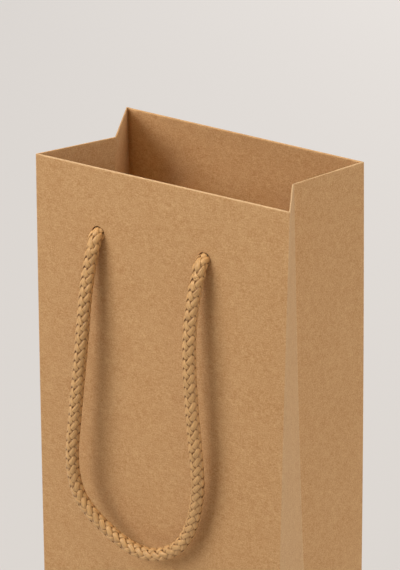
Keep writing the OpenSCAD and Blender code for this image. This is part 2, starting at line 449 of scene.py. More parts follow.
@dataclass(frozen=True)
class RopeFinish:
    """Spun yarn with a soft gloss, whose filaments run along each strand, painted in shade along
    each strand's edges and where it dives under its neighbours.
    """

    name: str
    colour: Colour
    # The yarn's darker tone, which also serves as the painted shade at the strands' edges and
    # crossings.
    shade: Colour
    slant: float = 0.16
    edge: float = 1.02
    edge_rise: float = 4.0
    edge_shade: float = 0.68
    base: float = -0.15
    roughness: float = 0.5
    fine_roughness: float = 0.08
    gloss: float = 0.5
    bump: float = 0.6
    relief: float = 0.00012

    # Frequencies of the noises across a strand, along it and from one strand to the next.
    LINES, FINE, PATCHES = (3.4, 0.16, 7.0), (9.0, 0.4, 7.0), (0.2, 0.22, 9.0)
    # What the painted light where the strand rides over, the lines, the fine lines and the patches
    # add to its colour, and what the lines and the fine lines add to its relief.
    TONES, HEIGHTS = (0.85, 0.4, 0.3, 0.25), (0.8, 0.5)

    @staticmethod
    def _streaks(
        graph: Graph, at: Sequence[Wire], scales: Point, detail: float = 1.0
    ) -> Wire:
        """Noise at a place on the yarn, with a frequency for each direction."""
        place = graph.join(*(part * scale for part, scale in zip(at, scales)))
        return graph.noise(place, 1.0, detail)

    def make(self) -> bpy.types.Material:
        """Builds the finish.

        Returns:
            The material.
        """
        material, graph, shader = new_material(self.name)
        across, along, number = graph.split(graph.attribute("yarn", True))
        slanted = (across + along * self.slant, along, number)
        lines = self._streaks(graph, slanted, self.LINES, 2.0)
        fine = self._streaks(graph, slanted, self.FINE)
        patches = self._streaks(graph, (across, along, number), self.PATCHES)
        # Painted shade: each strand darkens towards its edges, where it meets the next.
        painted_edge_shade = ((across.size() - self.edge) * self.edge_rise).clamped() * self.edge_shade
        # Painted shade: towards the shade colour where the strand dives under the crossing
        # strands.
        painted_light = graph.attribute("painted_light") * (1.0 - painted_edge_shade)
        share = weighed((painted_light, lines, fine, patches), self.TONES) + self.base
        graph.feed(shader, {
            "Base Color": graph.tint(share.clamped(), rgba(self.shade), rgba(self.colour)),
            "Normal": graph.bump(weighed((lines, fine), self.HEIGHTS), self.bump, self.relief),
            "Roughness": self.roughness + fine * self.fine_roughness,
            "Specular IOR Level": self.gloss,
        })
        return material


@dataclass(frozen=True)
class FloorFinish:
    """Pale matt floor, shown to the camera at its own level, with painted light a little stronger
    at the far right.
    """

    name: str
    lit: Colour
    tone: Colour = (1.0, 0.951, 0.917)
    evenness: float = 0.8
    level: float = 0.703
    far_gain: float = 0.067
    right_gain: float = 0.22
    right_from: float = 0.17
    darkest: float = 0.7
    lightest: float = 0.9
    roughness: float = 0.9

    def make(self) -> bpy.types.Material:
        """Builds the finish.

        Returns:
            The material.
        """
        material, graph, shader = new_material(self.name)
        graph.feed(shader, {"Base Color": rgba(self.lit), "Roughness": self.roughness,
                            "Specular IOR Level": 0.0})
        rays = graph.node("ShaderNodeLightPath")
        seen = graph.out(rays, "Is Camera Ray")
        for ray in ("Is Glossy Ray", "Is Transmission Ray"):
            seen = seen.at_least(graph.out(rays, ray))
        x, y, _ = graph.split(graph.place())
        away = y * VIEW_COS - x * VIEW_SIN
        aside = x * VIEW_COS + y * VIEW_SIN
        # Painted light: the level that the camera sees rises away from the camera, and more so to
        # the right.
        level = (away * self.far_gain + away * (aside + self.right_from) * self.right_gain
                 + self.level).at_least(self.darkest).at_most(self.lightest)
        glow = graph.node("ShaderNodeEmission", None,
                          {"Color": graph.colour(*(level * share for share in self.tone))})
        mixed = graph.node(
            "ShaderNodeMixShader", None,
            {0: seen * self.evenness, 1: shader.outputs[0], 2: glow.outputs[0]})
        output = next(n for n in graph.tree.nodes if n.type == "OUTPUT_MATERIAL")
        graph.feed(output, {"Surface": mixed.outputs[0]})
        return material


# --------------------------------------------------------------------------- objects


def add_object(name: str, data: bpy.types.ID) -> bpy.types.Object:
    """Puts an object with that mesh, lamp or camera into the scene."""
    made = bpy.data.objects.new(name, data)
    bpy.context.scene.collection.objects.link(made)
    return made


def new_object(
    name: str,
    points: Sequence[Point],
    faces: list[tuple[int, ...]],
    material: bpy.types.Material,
    wear_and_highlight: Optional[list[float]] = None,
) -> bpy.types.Object:
    """Makes a mesh object at the origin.

    Args:
        name: the piece's name.
        points: its points, in millimetres.
        faces: its faces, by point numbers.
        material: its finish.
        wear_and_highlight: how strongly each point is scuffed and painted with highlight, from 0
            to 1.

    Returns:
        The object.
    """
    mesh = bpy.data.meshes.new(name)
    mesh.from_pydata((np.array(points) * MM).tolist(), [], faces)
    mesh.materials.append(material)
    if wear_and_highlight is not None:
        mesh.attributes.new("wear_and_highlight", "FLOAT", "POINT").data.foreach_set("value", wear_and_highlight)
    mesh.shade_smooth()
    mesh.set_sharp_from_angle(angle=SHARP_ANGLE)
    mesh.validate()
    return add_object(name, mesh)


# --------------------------------------------------------------------------- the bag's shape


class Side(Enum):
    """The sides of the bag's outline, anticlockwise from the front, seen from above."""

    FRONT = 0
    RIGHT_FRONT = 1
    RIGHT_BACK = 2
    BACK = 3
    LEFT_BACK = 4
    LEFT_FRONT = 5


class Zone(Enum):
    """Which part of a side a column of points lies in."""

    NEAR = "round the side's first crease"
    ACROSS = "at a place across the bag"
    SHARE = "at a share of the side"
    BACK_FROM = "at a distance from the side's last crease"
    FAR = "round the side's last crease"


class Path(Enum):
    """Which part of the paper's way from the base to the hem a row of points lies on."""

    FOOT = "round the fold into the base"
    WALL = "up the wall"
    RIM = "round the fold at the rim"
    HEM = "down the hem"


@dataclass(frozen=True)
class Column:
    """One upright line of points on a side."""

    zone: Zone
    at: float


@dataclass(frozen=True)
class Level:
    """One row of points on a side: an angle in degrees on a fold, or a height."""

    path: Path
    at: float


@dataclass(frozen=True)
class Layer:
    """Where a sheet's two faces lie, from the bag's outer face inwards."""

    outer: float
    inner: float


@dataclass(frozen=True)
class BagShape:
    """The outline of the bag at each height, and how its paper folds and waves."""

    width: float = 133.0
    depth: float = 82.0
    height: float = 330.0
    # How far the mouth is drawn in, and how deep and how far back its folds lie.
    pinch_left: float = 10.0
    pinch_right: float = 14.0
    pinch_back: float = 3.0
    left_fold_in: float = 18.9
    right_fold_in: float = 15.1
    left_fold_shift: float = 0.5
    right_fold_shift: float = -5.9
    lean_power: float = 1.7
    fold_power: float = 0.5
    # The thickness of each layer, and how far below the rim the hem lies over the card.
    paper: float = 0.3
    glue: float = 0.05
    card: float = 0.5
    card_reach: float = 46.3
    card_fade: float = 2.2
    # How far the creases and the fold into the base are rounded.
    crease_reach: float = 0.6
    least_reach: float = 0.15
    foot_radius: float = 0.35
    # The seam's flap, and how the rim's fold swells towards what it holds.
    seam_width: float = 15.0
    seam_clear: float = 0.6
    taper_start: float = 1.2
    taper: float = 2.0
    # How high the ripples and the belly are, and how near an edge they die out.
    ripple: float = 0.17
    still_crease: float = 9.0
    still_foot: float = 16.0
    still_rim: float = 22.0
    belly: float = 0.5
    belly_rise: float = 90.0
    belly_top: float = 250.0
    belly_fade: float = 130.0

    # Each ripple's weight, waves across a side, millimetres a wave up it, and share of the
    # side's own shift.
    RIPPLES = ((0.55, 1.3, 170.0, 1.0), (0.3, 2.1, -95.0, 2.1), (0.15, 0.7, 47.0, -1.0))
    SIDE_SHIFT = 1.7
    WAVE_ROUND = 6.28

    @property
    def thin_fold(self) -> float:
        """The thickness of the rim where its fold holds only glue."""
        return 2 * self.paper + self.glue

    def creases(self, z: float) -> list[tuple[float, float]]:
        """The six creases of the outline at a height, as on the model."""
        return _creases(self, round(min(self.height, max(0.0, z)), 4))

    def way(self, side: int, z: float) -> tuple[float, float, float]:
        """A side's direction and length at a height.

        Args:
            side: the side's number.
            z: the height.

        Returns:
            The two parts of its direction in plan, and its length.
        """
        at = self.creases(z)
        ax, ay = at[side % 6]
        bx, by = at[(side + 1) % 6]
        long = math.hypot(bx - ax, by - ay)
        return (bx - ax) / long, (by - ay) / long, long

    def bend(self, crease: int, z: float, offset: float, share: float) -> tuple[float, float]:
        """A point of the rounded crease in plan.

        Args:
            crease: the crease's number.
            z: the height.
            offset: how far inside the bag's outer face it lies.
            share: 0 at its start, 0.5 in its middle and 1 at its end.

        Returns:
            The point in plan.
        """
        crease %= 6
        ux, uy, _ = self.way(crease + 5, z)
        vx, vy, _ = self.way(crease, z)
        cx, cy = self.creases(z)[crease]
        grow = offset / (1.0 + ux * vx + uy * vy)
        px, py = cx - (uy + vy) * grow, cy + (ux + vx) * grow
        turn = math.atan2(ux * vy - uy * vx, ux * vx + uy * vy)
        reach = max(self.least_reach, self.crease_reach - offset * math.tan(turn / 2.0))
        a, b, c = (1 - share) ** 2, 2 * share * (1 - share), share ** 2
        x = a * (px - ux * reach) + b * px + c * (px + vx * reach)
        y = a * (py - uy * reach) + b * py + c * (py + vy * reach)
        return x, y

    def plan(self, side: Side, column: Column, z: float, offset: float) -> tuple[float, float]:
        """A point in plan.

        Args:
            side: the side of the bag.
            column: its upright line.
            z: the height.
            offset: how far inside the bag's outer face it lies.

        Returns:
            The point in plan.
        """
        first, last = side.value, side.value + 1
        if column.zone is Zone.NEAR:
            return self.bend(first, z, offset, 0.5 + 0.5 * column.at)
        if column.zone is Zone.FAR:
            return self.bend(last, z, offset, 0.5 * column.at)
        ax, ay = self.bend(first, z, offset, 1.0)
        bx, by = self.bend(last, z, offset, 0.0)
        share = column.at
        if column.zone is Zone.ACROSS:
            share = (column.at - ax) / (bx - ax)
        elif column.zone is Zone.BACK_FROM:
            share = 1.0 - column.at / math.hypot(bx - ax, by - ay)
        return ax + (bx - ax) * share, ay + (by - ay) * share

    def place_along(self, side: Side, x: float, y: float, z: float) -> tuple[float, float]:
        """How far a point lies from a side's first and last crease."""
        ux, uy, long = self.way(side.value, z)
        ax, ay = self.creases(z)[side.value]
        near = (x - ax) * ux + (y - ay) * uy
        return near, long - near

    def fold(self, side: Side, column: Column, z: float) -> float:
        """How thick the folded rim is: it swells over a card or the seam's flap.

        Args:
            side: the side of the bag.
            column: the upright line on it.
            z: the height.

        Returns:
            The rim's thickness there.
        """
        first, last = self._corner_fold(side.value), self._corner_fold(side.value + 1)
        if column.zone is Zone.NEAR:
            return first
        if column.zone is Zone.FAR:
            return last
        near, far = self.place_along(side, *self.plan(side, column, z, 0.0), z)
        if side in (Side.FRONT, Side.BACK):
            full = 2 * (self.glue + self.paper) + self.card
            end, gap = (first, near) if near < far else (last, far)
            return end + (full - end) * smooth_step((gap - self.taper_start) / self.taper)
        if side is Side.RIGHT_BACK:
            gap = far - self.seam_width - self.seam_clear
            return last + (first - last) * smooth_step(gap / self.taper)
        return first

    def _corner_fold(self, crease: int) -> float:
        """The folded rim's thickness at a crease: at the back right it covers the seam's flap."""
        flap = crease % 6 == Side.BACK.value
        return self.thin_fold + self.paper + self.glue if flap else self.thin_fold

    def wave(self, side: Side, x: float, y: float, z: float) -> float:
        """How far the paper dips inwards, from its slight ripples and the bag's belly.

        Args:
            side: the side of the bag.
            x: the point's place across the bag.
            y: its place from front to back.
            z: its height.

        Returns:
            The dip, which is less than 0 where the paper bulges out.
        """
        near, far = self.place_along(side, x, y, z)
        share = near / (near + far)
        edge = smooth_step(near / self.still_crease) * smooth_step(far / self.still_crease)
        level = smooth_step(z / self.still_foot) * smooth_step(
            (self.height - z) / self.still_rim)
        seed = side.value * self.SIDE_SHIFT
        dip = sum(
            weight * math.sin(self.WAVE_ROUND * (share * across + z / up) + shift * seed)
            for weight, across, up, shift in self.RIPPLES)
        bulge = math.sin(math.pi * share) * smooth_step(z / self.belly_rise)
        bulge *= smooth_step((self.belly_top - z) / self.belly_fade)
        return self.ripple * dip * edge * level - self.belly * bulge

    def point(
        self, side: Side, column: Column, level: Level, layer: Layer, inside: bool, foot: float
    ) -> Point:
        """A point on one face of a sheet.

        Args:
            side: the side of the bag.
            column: its upright line.
            level: its row.
            layer: the sheet's offsets, used up the wall.
            inside: True for the sheet's second face.
            foot: the height that the sheet's fold into the base rests at.

        Returns:
            The point.
        """
        thick = self.paper if inside else 0.0
        angle = math.radians(level.at)
        if level.path is Path.WALL:
            offset, z = (layer.inner if inside else layer.outer), level.at
        elif level.path is Path.FOOT:
            r = self.foot_radius
            offset = r - (r - thick) * math.cos(angle)
            z = foot + r - (r - thick) * math.sin(angle)
        else:
            width = self.fold(side, column, self.height)
            if level.path is Path.RIM:
                r = width / 2.0
                offset = r - (r - thick) * math.cos(angle)
                z = self.height - r + (r - thick) * math.sin(angle)
            else:
                if side in (Side.FRONT, Side.BACK):
                    below = self.height - level.at - self.card_reach
                    width += (self.thin_fold - width) * smooth_step(below / self.card_fade)
                offset, z = width - thick, level.at
        x, y = self.plan(side, column, z, offset)
        if column.zone not in (Zone.NEAR, Zone.FAR):
            ux, uy, _ = self.way(side.value, z)
            dip = self.wave(side, x, y, z)
            x, y = x - uy * dip, y + ux * dip
        return x, y, z


@lru_cache(maxsize=None)
def _creases(shape: BagShape, z: float) -> list[tuple[float, float]]:
    """The outline's creases, kept for each height.

    Args:
        shape: the bag's sizes.
        z: the height.

    Returns:
        The six creases in plan, anticlockwise from the front left one.
    """
    lean = (z / shape.height) ** shape.lean_power
    start = shape.depth / 2.0
    draw = (max(0.0, z - start) / (shape.height - start)) ** shape.fold_power
    w, d = shape.width / 2.0, shape.depth / 2.0
    left, right = shape.pinch_left / 2.0 * lean, shape.pinch_right / 2.0 * lean
    back = shape.pinch_back / 2.0 * lean
    return [
        (-w, -d + left),
        (w, -d + right),
        (w - shape.right_fold_in * draw, shape.right_fold_shift * draw),
        (w - back, d - right),
        (-w + back, d - left),
        (-w + shape.left_fold_in * draw, shape.left_fold_shift * draw),
    ]


@dataclass(frozen=True)
class Hole:
    """A round hole punched through a sheet."""

    x: float
    z: float
    radius: float = 3.4
    patch: float = 6.0
    steps: int = 8
    rings: int = 3

    def lines(self, centre: float) -> list[float]:
        """The grid lines across the hole's square patch."""
        half = self.steps // 2
        return [centre + self.patch * (k / half - 1.0) for k in range(self.steps + 1)]

    def covers(self, x: float, z: float) -> bool:
        """True strictly inside the square patch."""
        inner = self.patch - 1e-6
        return abs(x - self.x) < inner and abs(z - self.z) < inner

    def ring(self, share: float) -> list[tuple[float, float]]:
        """A loop of points between the patch's edge and the hole.

        Args:
            share: 0 for the patch's edge and 1 for the hole.

        Returns:
            The points, as across and up.
        """
        points = []
        for k in range(4 * self.steps):
            side, step = divmod(k, self.steps)
            run = step / (self.steps / 2.0) - 1.0
            u, v = ((run, -1.0), (1.0, run), (-run, 1.0), (-1.0, -run))[side]
            angle = math.radians(-135.0 + 360.0 * k / (4 * self.steps))
            square, circle = self.patch * (1 - share), self.radius * share
            points.append((self.x + u * square + math.cos(angle) * circle,
                           self.z + v * square + math.sin(angle) * circle))
        return points


@dataclass
class SheetPiece:
    """One closed piece of paper or card, built on a grid of columns and rows."""

    node: str
    shape: BagShape
    side: Side
    columns: list[Column]
    levels: list[Level]
    layer: Layer
    holes: tuple[Hole, ...]
    foot: float = 0.0
    # How far the paper is painted lighter: painted light over the right gusset's front half,
    # painted highlight with scuffing on the rims and the creases, and scuffing at the foot.
    face_painted_light: float = 0.17
    front_right_rim_highlight_and_wear: float = 0.5
    rim_highlight_and_wear: float = 0.05
    foot_wear: float = 0.35
    crease_highlight_and_wear: float = 0.4

    @property
    def flat(self) -> Path:
        """The part of the paper's way that a hole's patch lies on."""
        return Path.HEM if self.levels[0].path is Path.RIM else Path.WALL

    def _wear_and_highlight(self, column: Column, level: Level, inside: bool) -> float:
        """How strongly the paper is painted lighter, for highlight and scuffing: most at its rim,
        its foot and its creases.

        Args:
            column: the grid point's upright line.
            level: its row.
            inside: True for the sheet's second face.

        Returns:
            The amount, from 0 to 1.
        """
        # Painted light: the right gusset's front half is painted lighter all over.
        scuff_and_highlight = self.face_painted_light if self.side is Side.RIGHT_FRONT else 0.0
        # Painted highlight with scuffing along the top of the rim's fold: strong on the front and
        # the right gusset, faint elsewhere.
        if level.path is Path.RIM:
            bright_rim = self.side in (Side.FRONT, Side.RIGHT_FRONT, Side.RIGHT_BACK)
            most = self.front_right_rim_highlight_and_wear if bright_rim else self.rim_highlight_and_wear
            scuff_and_highlight = most * math.sin(math.radians(level.at))
        elif level.path is Path.FOOT:
            scuff_and_highlight = self.foot_wear * math.sin(math.radians(2 * level.at))
        # Painted highlight with scuffing along the outer faces of the creases.
        crease = 0.0 if inside or level.path is Path.HEM else self.crease_highlight_and_wear
        if column.zone is Zone.NEAR:
            scuff_and_highlight = max(scuff_and_highlight, crease * (1.0 - column.at))
        elif column.zone is Zone.FAR:
            scuff_and_highlight = max(scuff_and_highlight, crease * column.at)
        return scuff_and_highlight

    def _face(self, inside: bool) -> tuple[list[Point], list[tuple[int, ...]], list[float]]:
        """One face of the sheet.

        Args:
            inside: True for the second face.

        Returns:
            Its points, its faces, and how strongly each point is painted lighter.
        """
        points: list[Point] = []
        wear_and_highlight: list[float] = []
        number: dict[tuple[Column, Level], int] = {}

        def add(column: Column, level: Level) -> int:
            """Adds a point and gives its number."""
            points.append(self.shape.point(
                self.side, column, level, self.layer, inside, self.foot))
            wear_and_highlight.append(self._wear_and_highlight(column, level, inside))
            return len(points) - 1

        for level in self.levels:
            for column in self.columns:
                if not self._in_patch(column, column, level, level):
                    number[column, level] = add(column, level)
        faces = []
        for low, high in zip(self.levels, self.levels[1:]):
            for a, b in zip(self.columns, self.columns[1:]):
                cell = [number.get(k) for k in ((a, low), (b, low), (b, high), (a, high))]
                if None not in cell and not self._in_patch(a, b, low, high):
                    faces.append(tuple(cell))
        for hole in self.holes:
            faces += self._punch(hole, number, add)
        return points, faces, wear_and_highlight

    def _in_patch(self, a: Column, b: Column, low: Level, high: Level) -> bool:
        """Tests if the middle between two columns and two rows lies in a hole's patch.

        Args:
            a: a column.
            b: the next column, or the same one.
            low: a row.
            high: the next row, or the same one.

        Returns:
            True if it does.
        """
        if any(column.zone is not Zone.ACROSS for column in (a, b)):
            return False
        if any(level.path is not self.flat for level in (low, high)):
            return False
        x, z = (a.at + b.at) / 2.0, (low.at + high.at) / 2.0
        return any(hole.covers(x, z) for hole in self.holes)

    def _punch(
        self,
        hole: Hole,
        number: dict[tuple[Column, Level], int],
        add: Callable[[Column, Level], int],
    ) -> list[tuple[int, ...]]:
        """Fills a hole's patch with rings of faces down to the hole.

        Args:
            hole: the hole.
            number: the grid's point numbers.
            add: adds a point.

        Returns:
            The patch's faces.
        """
        ring = [number[Column(Zone.ACROSS, round(x, 4)), Level(self.flat, round(z, 4))]
                for x, z in hole.ring(0.0)]
        faces = []
        flip = (self.side is Side.BACK) != (self.flat is Path.HEM)
        for k in range(1, hole.rings + 1):
            inner = [add(Column(Zone.ACROSS, x), Level(self.flat, z))
                     for x, z in hole.ring(k / hole.rings)]
            for j, here in enumerate(ring):
                n = (j + 1) % len(ring)
                cell = (here, ring[n], inner[n], inner[j])
                faces.append(cell[::-1] if flip else cell)
            ring = inner
        return faces

    def make(self, material: bpy.types.Material) -> bpy.types.Object:
        """Builds the piece with both faces and its edges.

        Args:
            material: its finish.

        Returns:
            The object.
        """
        points, faces, wear_and_highlight = self._face(False)
        back_points, _, back_wear_and_highlight = self._face(True)
        count = len(points)
        edges = dict.fromkeys((a, b) for face in faces for a, b in zip(face, face[1:] + face[:1]))
        rim = [(b, a, a + count, b + count) for a, b in edges if (b, a) not in edges]
        second = [tuple(k + count for k in face[::-1]) for face in faces]
        return new_object(f"{self.node}_sheet", points + back_points, faces + second + rim,
                          material, wear_and_highlight + back_wear_and_highlight)


@dataclass
class PaperBag:
    """The folded kraft sheet and the two stiffening cards under its hem."""

    shape: BagShape = field(default_factory=BagShape)
    hem: float = 50.0
    rim_zone: float = 2.0
    card_height: float = 46.0
    card_end: float = 61.0
    card_below_rim: float = 0.7
    seam_foot: float = 3.05
    seam_below_rim: float = 0.8
    flap_pitch: float = 0.35
    fold_step: float = 15.0
    grid_across: float = 3.4
    grid_up: float = 4.5
    gusset_steps: int = 14
    end_pitch: float = 0.7

    # The CAD nodes of each side's wall and hem.
    NODES = {
        Side.FRONT: ("front_panel", "front_hem"),
        Side.BACK: ("back_panel", "back_hem"),
        Side.LEFT_FRONT: ("left_gusset_front", "left_hem_front"),
        Side.LEFT_BACK: ("left_gusset_back", "left_hem_back"),
        Side.RIGHT_FRONT: ("right_gusset_front", "right_hem_front"),
        Side.RIGHT_BACK: ("right_gusset_back", "right_hem_back"),
    }
    BASE = ("front_base_flap", "back_base_flap", "left_base_flap", "right_base_flap",
            "base_card")
    # Where the finer grid at the ends of the front and the back starts, from the middle.
    GRID_ENDS = {Side.FRONT: 64.0, Side.BACK: 62.6}
    FOOT_ANGLES = (90.0, 67.5, 45.0, 22.5)
    # Grid lines over the seam's edge, and on its flap, from the corner.
    SEAM_EDGE = (17.8, 17.1, 16.4, 15.7, 14.8)
    FLAP = (12.0, 9.0, 6.0, 3.0)
    # Extra grid lines between the hem's lower edge and the card's, up from the first.
    HEM_ROWS = (1.0, 1.9, 2.8, 3.7)

    def _holes(self, side: Side) -> tuple[Hole, ...]:
        """The handle's holes on a side."""
        heights = {Side.FRONT: FRONT_HOLE_Z, Side.BACK: BACK_HOLE_Z}
        return tuple(Hole(x, heights[side]) for x in HOLE_X if side in heights)

    @staticmethod
    def _fill(marks: Iterable[float], step: float) -> list[float]:
        """Puts even steps between marks that lie far apart.

        Args:
            marks: the marks, in any order.
            step: the longest step.

        Returns:
            The marks and steps in order.
        """
        ordered = sorted(set(round(m, 4) for m in marks))
        filled = [ordered[0]]
        for low, high in zip(ordered, ordered[1:]):
            count = max(1, math.ceil((high - low) / step - 0.01))
            filled += [low + (high - low) * k / count for k in range(1, count + 1)]
        return [round(v, 4) for v in filled]

    def _across(self, side: Side, ends: Sequence[float]) -> list[Column]:
        """Columns across the front or back that pass round the holes.

        Args:
            side: the side of the bag.
            ends: grid lines near the creases, from the middle.

        Returns:
            The columns, from the side's first crease to its last.
        """
        marks = [*ends, *(-e for e in ends)]
        for hole in self._holes(side):
            marks += hole.lines(hole.x)
        ordered = self._fill(marks, self.grid_across)
        return [Column(Zone.ACROSS, x) for x in ordered[::-1 if side is Side.BACK else 1]]

    @staticmethod
    def _crease(zone: Zone) -> list[Column]:
        """Columns round a crease."""
        return [Column(zone, k / 3.0) for k in range(4)]

    def _columns(self, side: Side) -> list[Column]:
        """All columns of a wall or hem.

        Args:
            side: the side of the bag.

        Returns:
            The columns, from crease to crease.
        """
        if side in self.GRID_ENDS:
            ends = [self.GRID_ENDS[side] - self.end_pitch * k for k in range(4)]
            middle = self._across(side, ends)
        else:
            shares = [k / self.gusset_steps for k in range(1, self.gusset_steps)]
            seamed = side is Side.RIGHT_BACK
            middle = [Column(Zone.SHARE, s) for s in shares if s < 0.5 or not seamed]
            if seamed:
                middle += [Column(Zone.BACK_FROM, d) for d in self.SEAM_EDGE + self.FLAP]
        return self._crease(Zone.NEAR) + middle + self._crease(Zone.FAR)

    def _rows(self, side: Side, low: float, high: float) -> list[float]:
        """Heights for rows that pass round the holes.

        Args:
            side: the side of the bag.
            low: the lowest.
            high: the highest.

        Returns:
            The heights, from low to high.
        """
        marks = [low, high]
        for hole in self._holes(side)[:1]:
            marks += hole.lines(hole.z)
        return self._fill(marks, self.grid_up)

    def _rim(self, start: float) -> list[Level]:
        """A quarter turn of the fold at the rim, from an angle."""
        steps = int(90.0 / self.fold_step)
        return [Level(Path.RIM, start + self.fold_step * k) for k in range(steps + 1)]

    def foot(self, side: Side) -> float:
        """The height that a wall's fold into the base rests at: over the flaps below it."""
        order = {Side.FRONT: 0, Side.BACK: 1}
        return self.flap_pitch * order.get(side, 2)

    def wall(self, node: str, side: Side) -> SheetPiece:
        """One wall of the bag, from its fold into the base to the top of its rim.

        Args:
            node: the CAD node that it stands for.
            side: the side of the bag.

        Returns:
            The wall.
        """
        foot, top = self.foot(side), self.shape.height - self.rim_zone
        levels = [Level(Path.FOOT, a) for a in self.FOOT_ANGLES]
        levels += [Level(Path.WALL, z)
                   for z in self._rows(side, foot + self.shape.foot_radius, top)]
        levels += self._rim(0.0)
        return SheetPiece(node, self.shape, side, self._columns(side), levels,
                          Layer(0.0, self.shape.paper), self._holes(side), foot)

    def hem_strip(self, node: str, side: Side) -> SheetPiece:
        """The paper from the top of the rim down inside the bag.

        Args:
            node: the CAD node that it stands for.
            side: the side of the bag.

        Returns:
            The hem.
        """
        top, end = self.shape.height - self.rim_zone, self.shape.height - self.hem
        marks = set(self._rows(side, end, top)) | {end + row for row in self.HEM_ROWS}
        levels = self._rim(90.0) + [Level(Path.HEM, z) for z in sorted(marks, reverse=True)]
        return SheetPiece(node, self.shape, side, self._columns(side), levels,
                          Layer(0.0, 0.0), self._holes(side))

    def _glued(
        self, node: str, side: Side, columns: list[Column], low: float, top: float, thick: float
    ) -> SheetPiece:
        """A flat sheet glued to a wall's inner face.

        Args:
            node: the CAD node that it stands for.
            side: the side of the bag.
            columns: its upright lines.
            low: the height of its lower edge.
            top: how far its upper edge lies below the rim.
            thick: its thickness.

        Returns:
            The sheet.
        """
        outer = self.shape.paper + self.shape.glue
        rows = self._rows(side, low, self.shape.height - top)
        return SheetPiece(node, self.shape, side, columns, [Level(Path.WALL, z) for z in rows],
                          Layer(outer, outer + thick), self._holes(side))

    def pieces(self) -> list[SheetPiece]:
        """Every sheet, each for one CAD node.

        Returns:
            The walls, hems, cards and the seam's flap.
        """
        made = [self.wall(nodes[0], side) for side, nodes in self.NODES.items()]
        made += [self.hem_strip(nodes[1], side) for side, nodes in self.NODES.items()]
        for node, side in (("front_top_card", Side.FRONT), ("back_top_card", Side.BACK)):
            made.append(self._glued(
                node, side, self._across(side, (self.card_end,)),
                self.shape.height - self.card_height, self.card_below_rim, self.shape.card))
        flap = [Column(Zone.BACK_FROM, d) for d in (self.shape.seam_width, *self.FLAP)]
        made.append(self._glued(
            "side_seam_flap", Side.RIGHT_BACK, flap + self._crease(Zone.FAR),
            self.seam_foot, self.seam_below_rim, self.shape.paper))
        return made

    def build(self, kraft: bpy.types.Material, card: bpy.types.Material) -> None:
        """Builds and fits every sheet.

        Args:
            kraft: the paper's finish.
            card: the cards' finish.
        """
        for sheet in self.pieces():
            stiff = sheet.node.endswith("_card")
            piece = sheet.make(card if stiff else kraft)
            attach(piece, BAG)
            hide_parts(sheet.node)
            LOG.info("sheet %s: %d faces", piece.name, len(piece.data.polygons))
        for node in self.BASE:
            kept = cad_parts[node]
            kept.data.materials.clear()
            kept.data.materials.append(card if node.endswith("_card") else kraft)
            LOG.info("kept %s with a new finish", node)


# --------------------------------------------------------------------------- rope handles


